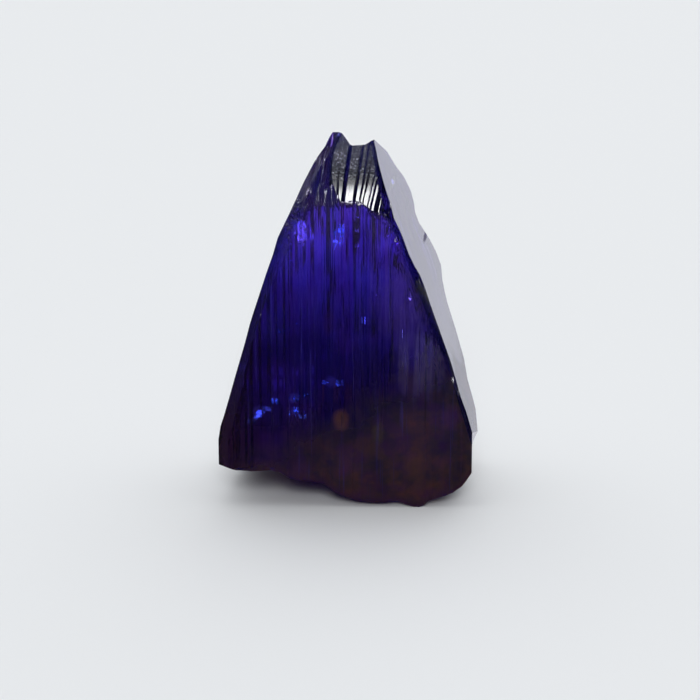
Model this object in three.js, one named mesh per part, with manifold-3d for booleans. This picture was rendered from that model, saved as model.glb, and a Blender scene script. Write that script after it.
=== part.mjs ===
// Rough tanzanite: one natural crystal, a tapering striated blade broken off at its base.
// Millimetres, +Z up. The crystal stands on a small flat spot of its broken base, at z = 0.
// Its striated front looks towards -Y and its smooth cleavage face leans over to +X.
//
// The skin is a bent box: every point has a column u across the crystal, a height t from the
// base (0) to the rim (1), and a depth w from the front (0) to the back (1). The front and the
// back are grids of u and t, the base and the rim are grids of u and w, the two ends of t and w.

import * as THREE from 'three';
import { mergeVertices } from 'three/addons/utils/BufferGeometryUtils.js';
import Module from 'manifold-3d';

// ---- driving dimensions (mm) --------------------------------------------------------------

const LEFT_END = -9.9;                 // the front's outermost columns
const RIGHT_END = 9.6;
const HORN_RIDGE = -1.05;              // columns between which the top is recessed
const RECESS_END = 3.9;

// The broken bottom edge of the front: [x, z].
const BASE_EDGE = [
  [-9.9, 3.3], [-8.6, 3.05], [-7.1, 2.95], [-5.9, 3.05], [-5.2, 2.9], [-4.4, 2.4],
  [-3.5, 2.2], [-1.9, 2.0], [-1.5, 1.8], [-0.9, 1.2], [-0.15, 0.9], [0.85, 0.55],
  [2.3, 0.4], [4.0, 0.55], [4.5, 0.3], [5.1, 0.05], [5.65, 0.0], [6.0, 0.2],
  [6.3, 0.55], [7.3, 0.85], [8.1, 1.15], [8.95, 1.8], [9.6, 2.9],
];
// The jagged edge of the ledge under the recessed top, and the same line carried to both sides.
const LEDGE_EDGE = [
  [-9.9, 4.7], [-9.4, 6.3], [-7.8, 11.4], [-6.1, 16.4], [-5.2, 19.4], [-4.4, 21.8],
  [-3.0, 23.4], [-2.0, 24.7], [-1.05, 25.6], [-0.8, 25.0], [-0.45, 24.35], [0.65, 24.4],
  [1.05, 24.3], [1.45, 24.0], [1.8, 23.7], [2.25, 23.5], [2.7, 23.4], [3.1, 23.0],
  [3.45, 22.3], [3.9, 21.5], [4.8, 18.6], [6.2, 15.0], [7.95, 10.4], [8.7, 7.9], [9.6, 5.0],
];
// Where each column ends on the rim: [column u, x, z]. Left edge, horn, crest, side edge.
const RIM = [
  [-9.9, -9.9, 5.3], [-9.8, -9.8, 6.2], [-9.4, -9.4, 7.4], [-8.4, -8.4, 10.95],
  [-7.8, -7.8, 13.0], [-7.3, -7.3, 14.9], [-6.55, -6.55, 17.2], [-6.0, -6.0, 18.9],
  [-5.6, -5.6, 20.0], [-5.2, -5.2, 21.4], [-4.4, -4.25, 23.4], [-3.6, -3.2, 25.65],
  [-3.0, -2.25, 27.4], [-2.5, -1.65, 28.15], [-2.0, -1.35, 28.8], [-1.5, -0.85, 29.55],
  [-1.25, -0.65, 29.42], [-1.05, -0.4, 28.85], [-0.65, 0.05, 28.35], [-0.22, 0.3, 27.95],
  [0.85, 1.55, 28.0], [0.95, 1.7, 28.25], [1.06, 2.0, 28.35], [1.15, 2.11, 28.15],
  [1.45, 2.3, 27.2], [1.8, 2.5, 26.45], [2.25, 2.78, 25.5], [2.7, 3.02, 24.75],
  [3.1, 3.25, 24.1], [3.45, 3.52, 23.1], [3.9, 3.95, 22.1], [4.1, 4.1, 21.75],
  [4.8, 4.8, 19.8], [5.75, 5.75, 17.8], [6.2, 6.2, 16.4], [7.05, 7.05, 14.0],
  [7.95, 7.95, 11.5], [8.25, 8.25, 10.5], [8.72, 8.72, 8.95], [9.3, 9.3, 7.4],
  [9.6, 9.6, 6.2],
];
// The flutes of the recessed top: [column u, how far it lies behind the recess's plane].
const FLUTES = [
  [-1.05, -0.42], [-0.8, -0.4], [-0.45, -0.36], [-0.22, 0.2], [-0.12, 0], [0.2, 0],
  [0.53, 0], [0.6, 0.12], [0.68, 0.03], [0.9, 0.03], [1.0, 0.17], [1.06, 0.12],
  [1.3, 0.12], [1.5, 0.12], [1.56, 0.19], [1.61, 0.12], [1.74, 0.12], [1.8, 0.19],
  [1.85, 0.12], [1.98, 0.12], [2.2, 0.36], [2.44, 0.34], [2.5, 0.42], [2.55, 0.34],
  [2.69, 0.33], [2.85, 0.45], [3.1, 0.2], [3.45, 0.05], [3.9, 0],
];
// The smooth cleavage face is all but flat: its front edge has SIDE_NORMAL . p = SIDE_OFFSET.
const SIDE_NORMAL = [0.9284, -0.142, 0.3434];
const SIDE_OFFSET = 11.967;
// The chipped back edge of that face, from the crest down: [x, y, z].
const SIDE_BACK_EDGE = [
  [2.04, -2.3, 28.4], [3.06, 0.4, 26.9], [3.82, 1.7, 25.35], [4.48, 2.6, 24.3],
  [5.22, 3.3, 22.6], [5.4, 3.45, 20.8], [6.35, 3.8, 19.35], [7.44, 4.1, 17.1],
  [7.58, 3.9, 15.5], [7.89, 3.4, 14.1], [8.63, 2.2, 11.95], [9.27, 0.8, 9.85],
  [9.38, -0.3, 9.0], [9.81, -1.4, 7.65], [10.2, -2.35, 6.3],
];
// How far back the back face lies at each height: [z, y].
const BACK_PROFILE = [[0, 6.2], [12, 5.9], [17, 5.3], [20, 4.4], [23, 3.1], [26.8, 0.6]];

const HORN_TOP = 29.4;                 // height where the horn's edges run out
const HORN_TIP = -0.9;                 // the left edge is read up to this x
const FLANK_END = -1.6;                // columns left of this end on the broken left flank
const FLANK_TURN = [[0.85, 0.3], [3.3, 1.3]];   // how far that flank reaches right and back
const FLANK_TAPER = [3, 0.12];         // it narrows over this height to this share at the top
const FLANK_STEP = 2.3;                // height of one facet of its edge
const CREST = 1.06;                    // column of the crest; the side face begins beyond it
const CREST_DEPTH = -2.3;
const CREST_TURN = [0.05, 0.45, -0.12];         // from its front edge to its middle
const FRONT_DEPTH = 5.5;               // the front stands this far before the axis
const FRONT_LEAN = 0.01;
const BEVEL_DEPTH = 0.6;               // the left edge is worn back by this much
const BEVEL_FADE = 4;                  // and less so over this height below the horn's top
const BEVEL_WIDTH = [[0, 1.2], [8, 0.8], [13, 0.5], [19, 0.7], [21.5, 1.1], [25, 0.6]];
const HORN_FOOT = 24;                  // above this height the horn leans back
const HORN_LEAN = 0.33;
const RECESS_FOOT = [24, -4.75];       // height and depth of the recess's foot
const RECESS_LEAN = 0.42;              // its lean there, and how fast it leans back further
const RECESS_CURL = 0.045;
const RECESS_STEP = 0.12;              // it lies at least this far behind the ridge
const LEDGE_UNDERCUT = 0.25;
const LEDGE_SEAM = 0.06;               // beside the recess the ledge is only a fine seam
const EDGE_BLEND = 1.5;                // the front bends to meet the side edge over this width
const EDGE_START = 0.9;                // in the columns right of this one
const RECESS_EDGE_BLEND = [[23.4, 0.62], [28, 0.25]];
const SIDE_FOOT_DEPTH = -5.7;          // the side face's front edge comes no further forward
const SIDE_EDGE_RISE = 0.25;           // its back edge begins this far above its front edge
const SIDE_EDGE_TILT = 0.06;
const RIDGE_BULGE = 0.32;              // the horn's ridge bows out over the recess
const RIDGE_WIDTH = 0.7;
const BACK_WIDTH = 0.875;              // the back is narrower than the front
const BACK_SHIFT = 0.46;
const BACK_SPLAY = 0.08;               // and falls away towards both sides
const BACK_TOP = 26.8;
const BACK_DROP = 0.8;
const BACK_FOOT = [0.7, 0.5];          // lowest height of its broken foot, and what chance adds
const BACK_FOOT_RISE = 0.12;           // the foot climbs towards the left from here
const BACK_FOOT_TURN = -2;
const BACK_FOOT_SLOPE = 1.4;
const BASE_SLOPE = 0.27;               // the broken base falls towards the flat spot
const BASE_SINK = 0.6;                 // it would dip this far under the flat spot
const BASE_LUMPS = 0.45;               // hackly break of the base, in facets of these sizes
const LUMP_SIZE = [1.8, 2.2];
const FLANK_CHIPS = 0.7;               // broken facets of the left flank and the back corner
const CHIP_SIZE = [1.9, 2.6];
const BACK_TERRACE = 0.4;              // a sunken growth step down the middle of the back
const TERRACE_SIDES = [[-2.6, 0.5], [2.4, 0.4]];
const SHOULDER_START = 0.5;            // from here the back swells out to meet the side face
const SHOULDER_WIDTH = 1.1;
const SHOULDER_DROP = 0.2;
const BACK_RIB_HEIGHT = 0.01;          // lowest rib of the back, and what chance adds to it
const BACK_RIB_HEIGHT_MORE = 0.14;

const RIB_WIDTH = 0.36;                // narrowest rib, and what chance adds to it
const RIB_WIDTH_MORE = 0.42;
const RIB_HEIGHT = 0.06;
const RIB_HEIGHT_MORE = 0.17;
const RIB_FADE = 0.3;                  // a rib swells and fades by this share on its way up
const RIB_PITCH = 0.35;                // in waves this steep, in radians a millimetre
const RIB_LOW = [[4, 0.35], [18, 1]];  // ribs are flatter near the base: [z, share of height]

const ROWS_BELOW = 10;                 // rows of faces below and above the ledge
const ROWS_ABOVE = 6;
const DEPTH_STEPS = 8;

// ---- small tools --------------------------------------------------------------------------

// A repeatable chance value between 0 and 1 for a whole number and a purpose.
function chance(index, purpose) {
  const wave = Math.sin(index * 12.9898 + purpose * 78.233) * 43758.5453;
  return wave - Math.floor(wave);
}

// Facets of a broken surface: chance heights from 0 to 1 at whole places, straight between.
function facets(a, b, purpose) {
  const [a0, b0] = [Math.floor(a), Math.floor(b)];
  const at = (da, db) => chance(a0 + da + 31 * (b0 + db), purpose);
  const low = mix(at(0, 0), at(1, 0), a - a0);
  return mix(low, mix(at(0, 1), at(1, 1), a - a0), b - b0);
}

const clamp = (value, low, high) => Math.min(high, Math.max(low, value));
const mix = (a, b, share) => a + (b - a) * share;

// Reads column `want` of a table at place `at` of its column `by`, in straight lines.
function read(table, at, want = 1, by = 0) {
  const rising = table[table.length - 1][by] > table[0][by];
  const rows = rising ? table : [...table].reverse();
  let k = 1;
  while (k < rows.length - 1 && rows[k][by] < at) k += 1;
  const share = clamp((at - rows[k - 1][by]) / (rows[k][by] - rows[k - 1][by]), 0, 1);
  return mix(rows[k - 1][want], rows[k][want], share);
}

// ---- columns and ribs ---------------------------------------------------------------------

// Valley and crest columns of the ribs from one column to another, each with its height.
function ribColumns(from, to, purpose) {
  const columns = [];
  let valley = from;
  for (let k = 0; valley < to - RIB_WIDTH; k += 1) {
    const width = Math.min(RIB_WIDTH + RIB_WIDTH_MORE * chance(k, purpose), to - valley);
    const height = RIB_HEIGHT + RIB_HEIGHT_MORE * chance(k, purpose + 1);
    columns.push([valley, 0], [valley + width * mix(0.3, 0.7, chance(k, purpose + 2)), height]);
    valley += width;
  }
  return columns;
}

// Under the recess the ribs go on, read at the columns of the flutes.
const ribsUnderRecess = [...ribColumns(HORN_RIDGE, RECESS_END, 7), [RECESS_END, 0]];
const recessColumns = FLUTES.map(([u]) => [u, read(ribsUnderRecess, u)]);
const COLUMNS = [
  ...ribColumns(LEFT_END, HORN_RIDGE - 0.1, 1),
  ...recessColumns,
  ...ribColumns(RECESS_END + 0.3, RIGHT_END - 0.1, 4),
  [RIGHT_END, 0],
];
const LAST_COLUMN = COLUMNS.length - 1;
const LEDGE_ROW = ROWS_BELOW;
const LAST_ROW = ROWS_BELOW + 1 + ROWS_ABOVE;

// ---- the front ----------------------------------------------------------------------------

const leftEdge = RIM.filter(([, x]) => x <= HORN_TIP).map(([, x, z]) => [x, z]);
const sideEdge = RIM.filter(([u]) => u > CREST).map(([, x, z]) => [x, z]);

// Depth of a point of the flat side face, from its x and z.
function sideDepth(x, z) {
  const depth = (SIDE_NORMAL[0] * x + SIDE_NORMAL[2] * z - SIDE_OFFSET) / -SIDE_NORMAL[1];
  return Math.max(depth, SIDE_FOOT_DEPTH);
}

// Where the side face's back edge lies at a height: its x and y.
function sideBackEdge(z) {
  return [read(SIDE_BACK_EDGE, z, 0, 2), read(SIDE_BACK_EDGE, z, 1, 2)];
}

// Where the front's left edge lies at a height.
function leftDepth(z) {
  return frontPlane(z) + BEVEL_DEPTH * clamp((HORN_TOP - z) / BEVEL_FADE, 0, 1);
}

function frontPlane(z) {
  return -FRONT_DEPTH + FRONT_LEAN * z + HORN_LEAN * Math.max(0, z - HORN_FOOT);
}

function recessPlane(z) {
  const rise = z - RECESS_FOOT[0];
  return RECESS_FOOT[1] + RECESS_LEAN * rise + RECESS_CURL * rise * Math.abs(rise);
}

function front(i, j) {
  const [u, rib] = COLUMNS[i];
  const zBase = read(BASE_EDGE, u);
  const zLedge = read(LEDGE_EDGE, u);
  const xRim = read(RIM, u, 1);
  const zRim = read(RIM, u, 2);
  const inRecess = u >= HORN_RIDGE && u <= RECESS_END;
  let x = u;
  let z;
  if (j <= LEDGE_ROW) {
    z = mix(zBase, zLedge, j / LEDGE_ROW);
  } else {
    const rise = (j - LEDGE_ROW - 1) / ROWS_ABOVE;
    const foot = zLedge + (inRecess ? -LEDGE_UNDERCUT : LEDGE_SEAM * (zRim - zLedge));
    z = mix(foot, zRim, rise);
    const climb = clamp((z - zLedge) / (zRim - zLedge), 0, 1);
    const bulge = RIDGE_BULGE * clamp(1 - Math.abs(u - HORN_RIDGE) / RIDGE_WIDTH, 0, 1);
    x = mix(u, xRim, climb) - bulge * Math.sin(Math.PI * climb);
  }
  const swell = 1 - RIB_FADE + RIB_FADE * Math.sin(RIB_PITCH * z + 7 * chance(i, 5));
  let y = frontPlane(z) - rib * swell * read(RIB_LOW, z);
  if (j > LEDGE_ROW && inRecess) {
    y = Math.max(y + RECESS_STEP, recessPlane(z) + read(FLUTES, u));
  }
  const fromLeft = x - read(leftEdge, z, 0, 1);
  const bevel = clamp(1 - fromLeft / read(BEVEL_WIDTH, z), 0, 1);
  y = mix(y, leftDepth(z), bevel);
  if (u > EDGE_START) {
    const toSide = read(sideEdge, z, 0, 1) - x;
    const above = j > LEDGE_ROW && inRecess;
    const width = above ? read(RECESS_EDGE_BLEND, z) : EDGE_BLEND;
    const blend = z > zRim - 1e-6 ? 1 : clamp(1 - toSide / width, 0, 1);
    const edge = toSide + x;
    y = mix(y, u > CREST ? sideDepth(edge, z) : CREST_DEPTH, above ? blend : blend * blend);
  }
  return [x, y, z];
}

// ---- the back -----------------------------------------------------------------------------

function back(i, j) {
  const [u] = COLUMNS[i];
  const x = BACK_WIDTH * mix(u, front(i, LAST_ROW)[0], j / LAST_ROW) + BACK_SHIFT;
  const climb = BACK_FOOT_RISE * Math.max(0, BACK_FOOT_TURN - u);
  const zFoot = BACK_FOOT[0] + BACK_FOOT[1] * chance(i, 12) + climb;
  const zTop = Math.min(front(i, LAST_ROW)[2] - BACK_DROP, BACK_TOP);
  const z = mix(zFoot, zTop, j / LAST_ROW);
  const rib = (i % 2) * (BACK_RIB_HEIGHT + BACK_RIB_HEIGHT_MORE * chance(i, 13) ** 2);
  const [[left, leftStep], [right, rightStep]] = TERRACE_SIDES;
  const sunken = clamp((x - left) / leftStep, 0, 1) * clamp((right - x) / rightStep, 0, 1);
  const y = read(BACK_PROFILE, z) - BACK_SPLAY * Math.abs(x + 1) + rib - BACK_TERRACE * sunken;
  const [xEdge, yEdge] = sideBackEdge(z);
  const toEdge = clamp((x - SHOULDER_START) / (xEdge - SHOULDER_WIDTH - SHOULDER_START), 0, 1);
  return [x, mix(y, Math.max(y, yEdge - SHOULDER_DROP), toEdge), z];
}

// ---- rim, base and ends -------------------------------------------------------------------

// The edge half way round the rim: behind the left flank, the crest, or the side face.
function middle(i) {
  const [u] = COLUMNS[i];
  const [x, y, z] = front(i, LAST_ROW);
  if (u >= CREST) {
    const [, , zTop] = SIDE_BACK_EDGE[0];
    const zBack = Math.min(z + SIDE_EDGE_RISE - SIDE_EDGE_TILT * (zTop - z), zTop);
    return [...sideBackEdge(zBack), zBack];
  }
  if (u >= FLANK_END) return [x, y, z].map((value, axis) => value + CREST_TURN[axis]);
  const taper = clamp((HORN_TOP - z) / FLANK_TAPER[0], FLANK_TAPER[1], 1);
  const chip = facets(z / FLANK_STEP, 0, 21);
  const [right, behind] = FLANK_TURN.map(([least, more]) => (least + more * chip) * taper);
  return [x + right, y + behind, z - 0.1];
}

function rim(i, k) {
  const share = k / DEPTH_STEPS;
  const turn = middle(i);
  const [from, to, part] = share < 0.5
    ? [front(i, LAST_ROW), turn, share * 2]
    : [turn, back(i, LAST_ROW), share * 2 - 1];
  const [x, y, z] = from.map((value, axis) => mix(value, to[axis], part));
  const broken = COLUMNS[i][0] < FLANK_END || (COLUMNS[i][0] >= CREST && share > 0.5);
  const rough = facets(y / CHIP_SIZE[0], z / CHIP_SIZE[1], 22) * Math.sin(Math.PI * part);
  return [x - (broken ? Math.sign(x) * FLANK_CHIPS * rough : 0), y, z];
}

function base(i, k) {
  const share = k / DEPTH_STEPS;
  const a = front(i, 0);
  const b = back(i, 0);
  const x = mix(a[0], b[0], share);
  const y = mix(a[1], b[1], share);
  const lumps = BASE_LUMPS * (facets((x + y) / LUMP_SIZE[0], (y - x) / LUMP_SIZE[1], 23) - 0.5);
  const inside = Math.sin(Math.PI * share);
  const fromFront = a[2] - BASE_SLOPE * (y - a[1]);
  const fromBack = b[2] - BACK_FOOT_SLOPE * (b[1] - y);
  const z = Math.max(fromFront, fromBack, -BASE_SINK) + lumps * inside;
  return [x, y, k === 0 ? a[2] : k === DEPTH_STEPS ? b[2] : z];
}

// The two narrow ends: each fills the four lines that the front, back, rim and base leave.
function end(i, j, k) {
  const rise = j / LAST_ROW;
  const share = k / DEPTH_STEPS;
  const [f, b] = [front(i, j), back(i, j)];
  const [low, high] = [base(i, k), rim(i, k)];
  const corners = [front(i, 0), back(i, 0), front(i, LAST_ROW), back(i, LAST_ROW)];
  return [0, 1, 2].map((axis) => {
    const across = mix(f[axis], b[axis], share);
    const up = mix(low[axis], high[axis], rise);
    const [f0, b0, f1, b1] = corners.map((corner) => corner[axis]);
    return across + up - mix(mix(f0, b0, share), mix(f1, b1, share), rise);
  });
}

// ---- skin, cut flat where it rests --------------------------------------------------------

// Adds the two triangles of every cell of a grid of points; `outward` is their winding.
function addGrid(positions, rows, columns, point, outward) {
  for (let r = 0; r < rows; r += 1) {
    for (let c = 0; c < columns; c += 1) {
      const quad = [point(r, c), point(r, c + 1), point(r + 1, c + 1), point(r + 1, c)];
      const order = outward ? [0, 1, 2, 0, 2, 3] : [0, 2, 1, 0, 3, 2];
      for (const corner of order) positions.push(...quad[corner]);
    }
  }
}

function crystalSkin() {
  const positions = [];
  addGrid(positions, LAST_ROW, LAST_COLUMN, (j, i) => front(i, j), true);
  addGrid(positions, LAST_ROW, LAST_COLUMN, (j, i) => back(i, j), false);
  addGrid(positions, DEPTH_STEPS, LAST_COLUMN, (k, i) => base(i, k), false);
  addGrid(positions, DEPTH_STEPS, LAST_COLUMN, (k, i) => rim(i, k), true);
  addGrid(positions, LAST_ROW, DEPTH_STEPS, (j, k) => end(0, j, k), false);
  addGrid(positions, LAST_ROW, DEPTH_STEPS, (j, k) => end(LAST_COLUMN, j, k), true);
  const geometry = new THREE.BufferGeometry();
  geometry.setAttribute('position', new THREE.Float32BufferAttribute(positions, 3));
  return mergeVertices(geometry, 1e-4);
}

const wasm = await Module();
wasm.setup();

function toManifold(geometry) {
  return new wasm.Manifold(new wasm.Mesh({
    numProp: 3,
    vertProperties: new Float32Array(geometry.attributes.position.array),
    triVerts: new Uint32Array(geometry.index.array),
  }));
}

function toGeometry(manifold) {
  const mesh = manifold.getMesh();
  const geometry = new THREE.BufferGeometry();
  geometry.setAttribute('position', new THREE.Float32BufferAttribute(mesh.vertProperties, 3));
  geometry.setIndex(new THREE.Uint32BufferAttribute(mesh.triVerts, 1));
  geometry.computeVertexNormals();
  return geometry;
}

// Cuts away everything under z = 0, which leaves the flat spot that the crystal rests on.
function cutFlat(manifold) {
  const block = new THREE.BoxGeometry(60, 60, 10).translate(0, 0, -5);
  block.deleteAttribute('normal');
  block.deleteAttribute('uv');
  return manifold.subtract(toManifold(mergeVertices(block)));
}

const tanzanite = new THREE.MeshStandardMaterial({
  color: 0x1d1052,
  roughness: 0.12,
  metalness: 0,
  transparent: true,
  opacity: 0.85,
});

const crystal = new THREE.Mesh(toGeometry(cutFlat(toManifold(crystalSkin()))), tanzanite);
crystal.name = 'crystal';

const specimen = new THREE.Group();
specimen.add(crystal);

export default specimen;
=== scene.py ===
# Rough tanzanite: one uncut crystal, a tapering striated blade that stands on its broken base.

import math

import bpy
import numpy as np
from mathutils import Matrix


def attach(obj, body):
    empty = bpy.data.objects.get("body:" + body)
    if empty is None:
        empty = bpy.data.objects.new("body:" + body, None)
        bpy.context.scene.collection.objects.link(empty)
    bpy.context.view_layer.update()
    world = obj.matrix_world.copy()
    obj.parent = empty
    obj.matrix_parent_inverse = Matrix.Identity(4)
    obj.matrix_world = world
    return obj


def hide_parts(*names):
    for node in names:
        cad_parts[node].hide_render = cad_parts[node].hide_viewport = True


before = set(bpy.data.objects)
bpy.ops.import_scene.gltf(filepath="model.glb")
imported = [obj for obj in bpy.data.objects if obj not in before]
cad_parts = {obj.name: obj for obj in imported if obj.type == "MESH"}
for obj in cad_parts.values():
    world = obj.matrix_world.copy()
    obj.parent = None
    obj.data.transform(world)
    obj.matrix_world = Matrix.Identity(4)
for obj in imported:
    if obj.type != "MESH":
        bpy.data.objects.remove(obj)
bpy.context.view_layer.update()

# ---- crystal: the grid of its skin ---------------------------------------------------------
# The whole object is one natural crystal of tanzanite. Growth left long ribs down its front
# and back, one side is a smooth cleavage face, and the base and the left flank are broken.
# Its skin is a bent box, in millimetres: column u across, row from base to rim, depth to back.

LEFT_END = -9.9
RIGHT_END = 9.6
HORN_RIDGE = -1.05
RECESS_END = 3.9
CREST = 1.06
CREST_DEPTH = -2.3
HORN_TOP = 29.4

# The broken bottom edge of the front, and the jagged ledge under the recessed top: [u, z].
BASE_EDGE = np.array([
    [-9.9, 3.3], [-8.6, 3.05], [-7.1, 2.95], [-5.9, 3.05], [-5.2, 2.9], [-4.4, 2.4],
    [-3.5, 2.2], [-1.9, 2.0], [-1.5, 1.8], [-0.9, 1.2], [-0.15, 0.9], [0.85, 0.55],
    [2.3, 0.4], [4.0, 0.55], [4.5, 0.3], [5.1, 0.05], [5.65, 0.0], [6.0, 0.2],
    [6.3, 0.55], [7.3, 0.85], [8.1, 1.15], [8.95, 1.8], [9.6, 2.9]])
LEDGE_EDGE = np.array([
    [-9.9, 4.7], [-9.4, 6.3], [-7.8, 11.4], [-6.1, 16.4], [-5.2, 19.4], [-4.4, 21.8],
    [-3.0, 23.4], [-2.0, 24.7], [-1.05, 25.6], [-0.8, 25.0], [-0.45, 24.35], [0.65, 24.4],
    [1.05, 24.3], [1.45, 24.0], [1.8, 23.7], [2.25, 23.5], [2.7, 23.4], [3.1, 23.0],
    [3.45, 22.3], [3.9, 21.5], [4.8, 18.6], [6.2, 15.0], [7.95, 10.4], [8.7, 7.9],
    [9.6, 5.0]])
# Where each column ends on the rim: [u, x, z]. Left edge, horn, crest, side edge.
RIM = np.array([
    [-9.9, -9.9, 5.3], [-9.8, -9.8, 6.2], [-9.4, -9.4, 7.4], [-8.4, -8.4, 10.95],
    [-7.8, -7.8, 13.0], [-7.3, -7.3, 14.9], [-6.55, -6.55, 17.2], [-6.0, -6.0, 18.9],
    [-5.6, -5.6, 20.0], [-5.2, -5.2, 21.4], [-4.4, -4.25, 23.4], [-3.6, -3.2, 25.65],
    [-3.0, -2.25, 27.4], [-2.5, -1.65, 28.15], [-2.0, -1.35, 28.8], [-1.5, -0.85, 29.55],
    [-1.25, -0.65, 29.42], [-1.05, -0.4, 28.85], [-0.65, 0.05, 28.35], [-0.22, 0.3, 27.95],
    [0.85, 1.55, 28.0], [0.95, 1.7, 28.25], [1.06, 2.0, 28.35], [1.15, 2.11, 28.15],
    [1.45, 2.3, 27.2], [1.8, 2.5, 26.45], [2.25, 2.78, 25.5], [2.7, 3.02, 24.75],
    [3.1, 3.25, 24.1], [3.45, 3.52, 23.1], [3.9, 3.95, 22.1], [4.1, 4.1, 21.75],
    [4.8, 4.8, 19.8], [5.75, 5.75, 17.8], [6.2, 6.2, 16.4], [7.05, 7.05, 14.0],
    [7.95, 7.95, 11.5], [8.25, 8.25, 10.5], [8.72, 8.72, 8.95], [9.3, 9.3, 7.4],
    [9.6, 9.6, 6.2]])
# The flutes of the recessed top: [u, how far the flute lies behind the recess's plane].
FLUTES = np.array([
    [-1.05, -0.42], [-0.8, -0.4], [-0.45, -0.36], [-0.22, 0.2], [-0.12, 0], [0.2, 0],
    [0.53, 0], [0.6, 0.12], [0.68, 0.03], [0.9, 0.03], [1.0, 0.17], [1.06, 0.12],
    [1.3, 0.12], [1.5, 0.12], [1.56, 0.19], [1.61, 0.12], [1.74, 0.12], [1.8, 0.19],
    [1.85, 0.12], [1.98, 0.12], [2.2, 0.36], [2.44, 0.34], [2.5, 0.42], [2.55, 0.34],
    [2.69, 0.33], [2.85, 0.45], [3.1, 0.2], [3.45, 0.05], [3.9, 0]])
# The cleavage face is all but flat, and this is its chipped back edge: [x, y, z].
SIDE_NORMAL = np.array([0.9284, -0.142, 0.3434])
SIDE_OFFSET = 11.967
SIDE_BACK_EDGE = np.array([
    [2.04, -2.3, 28.4], [3.06, 0.4, 26.9], [3.82, 1.7, 25.35], [4.48, 2.6, 24.3],
    [5.22, 3.3, 22.6], [5.4, 3.45, 20.8], [6.35, 3.8, 19.35], [7.44, 4.1, 17.1],
    [7.58, 3.9, 15.5], [7.89, 3.4, 14.1], [8.63, 2.2, 11.95], [9.27, 0.8, 9.85],
    [9.38, -0.3, 9.0], [9.81, -1.4, 7.65], [10.2, -2.35, 6.3]])[::-1]
# How far back the back face lies at each height: [z, y].
BACK_PROFILE = np.array([[0, 6.2], [12, 5.9], [17, 5.3], [20, 4.4], [23, 3.1], [26.8, 0.6]])

HORN_TIP = -0.9                        # the left edge is read up to this x
FLANK_END = -1.6                       # columns left of this end on the broken left flank
FLANK_TURN = [[0.85, 0.3], [3.3, 1.3]]     # how far it reaches right and back: least, chance
FLANK_TAPER = [3, 0.12]                # it narrows over this height to this share at the top
FLANK_STEP = 2.3                       # height of one facet of its edge
FLANK_DROP = 0.1
CREST_TURN = [0.05, 0.45, -0.12]       # from the crest's front edge to its middle
FRONT_DEPTH = 5.5                      # the front stands this far before the axis
FRONT_LEAN = 0.01
BEVEL_DEPTH = 0.6                      # the left edge is worn back by this much
BEVEL_FADE = 4                         # and less so over this height below the horn's top
BEVEL_WIDTH = np.array([[0, 1.2], [8, 0.8], [13, 0.5], [19, 0.7], [21.5, 1.1], [25, 0.6]])
HORN_FOOT = 24.0                       # above this height the horn leans back
HORN_LEAN = 0.33
RECESS_FOOT = [24.0, -4.75]            # height and depth of the recess's foot
RECESS_LEAN = 0.42                     # its lean there, and how fast it leans back further
RECESS_CURL = 0.045
RECESS_STEP = 0.12                     # it lies at least this far behind the ridge
LEDGE_UNDERCUT = 0.25
LEDGE_SEAM = 0.06                      # beside the recess the ledge is only a fine seam
EDGE_BLEND = 1.5                       # the front bends to meet the side edge over this width
EDGE_START = 0.9                       # in the columns right of this one
RECESS_EDGE_BLEND = np.array([[23.4, 0.62], [28.0, 0.25]])
SIDE_FOOT_DEPTH = -5.7                 # the side face's front edge comes no further forward
SIDE_EDGE_RISE = 0.25                  # its back edge begins this far above its front edge
SIDE_EDGE_TILT = 0.06
RIDGE_BULGE = 0.32                     # the horn's ridge bows out over the recess
RIDGE_WIDTH = 0.7
BACK_WIDTH = 0.875                     # the back is narrower than the front
BACK_SHIFT = 0.46
BACK_SPLAY = 0.08                      # and falls away towards both sides
BACK_TOP = 26.8
BACK_DROP = 0.8
BACK_FOOT = [0.7, 0.5]                 # lowest height of its broken foot, and what chance adds
BACK_FOOT_RISE = 0.12                  # the foot climbs towards the left from the turn on
BACK_FOOT_TURN = -2
BACK_FOOT_SLOPE = 1.4
BASE_SLOPE = 0.27                      # the broken base falls towards the flat spot
BASE_SINK = 0.6                        # it would dip this far under the flat spot
BASE_LUMPS = 0.45                      # hackly break of the base, in facets of these sizes
LUMP_SIZE = [1.8, 2.2]
FLANK_CHIPS = 0.7                      # broken facets of the left flank and the back corner
CHIP_SIZE = [1.9, 2.6]
BACK_TERRACE = 0.4                     # a sunken growth step down the middle of the back
TERRACE_SIDES = [[-2.6, 0.5], [2.4, 0.4]]  # where its two sides start, and their widths
SHOULDER_START = 0.5                   # from here the back swells out to meet the side face
SHOULDER_WIDTH = 1.1
SHOULDER_DROP = 0.2
BACK_RIB = [0.01, 0.14]                # least height of a rib, and what chance adds to it
RIB_WIDTH = [0.36, 0.42]               # width of a rib of the front, least and chance
RIB_HEIGHT = [0.06, 0.17]
RIB_CREST = [0.3, 0.7]                 # its crest lies between these shares of its width
RIB_GAP = 0.1                          # the ribs end this far before the ridge and the right end
RECESS_GAP = 0.3                       # and begin again this far beyond the recess
RIB_FADE = 0.3                         # a rib swells and fades by this share on its way up
RIB_PITCH = 0.35                       # in waves this steep, in radians a millimetre
RIB_LOW = np.array([[4, 0.35], [18, 1]])   # ribs are flatter near the base: [z, share of height]

ROWS_BELOW = 46                        # rows of points below and above the ledge
ROWS_ABOVE = 34
ROW_PACKING = 1.7                      # the rows draw together towards the ledge
DEPTH_STEPS = 30
FINE_COLUMN = 0.056                    # widest step between two columns


def chance(index, purpose):
    """A repeatable value from 0 to 1: what follows the point of a large multiple of a sine."""
    wave = np.sin(index * 12.9898 + purpose * 78.233) * 43758.5453
    return wave - np.floor(wave)


def mix(a, b, share):
    """The value that lies a share of the way from a to b."""
    return a + (b - a) * share


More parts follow.
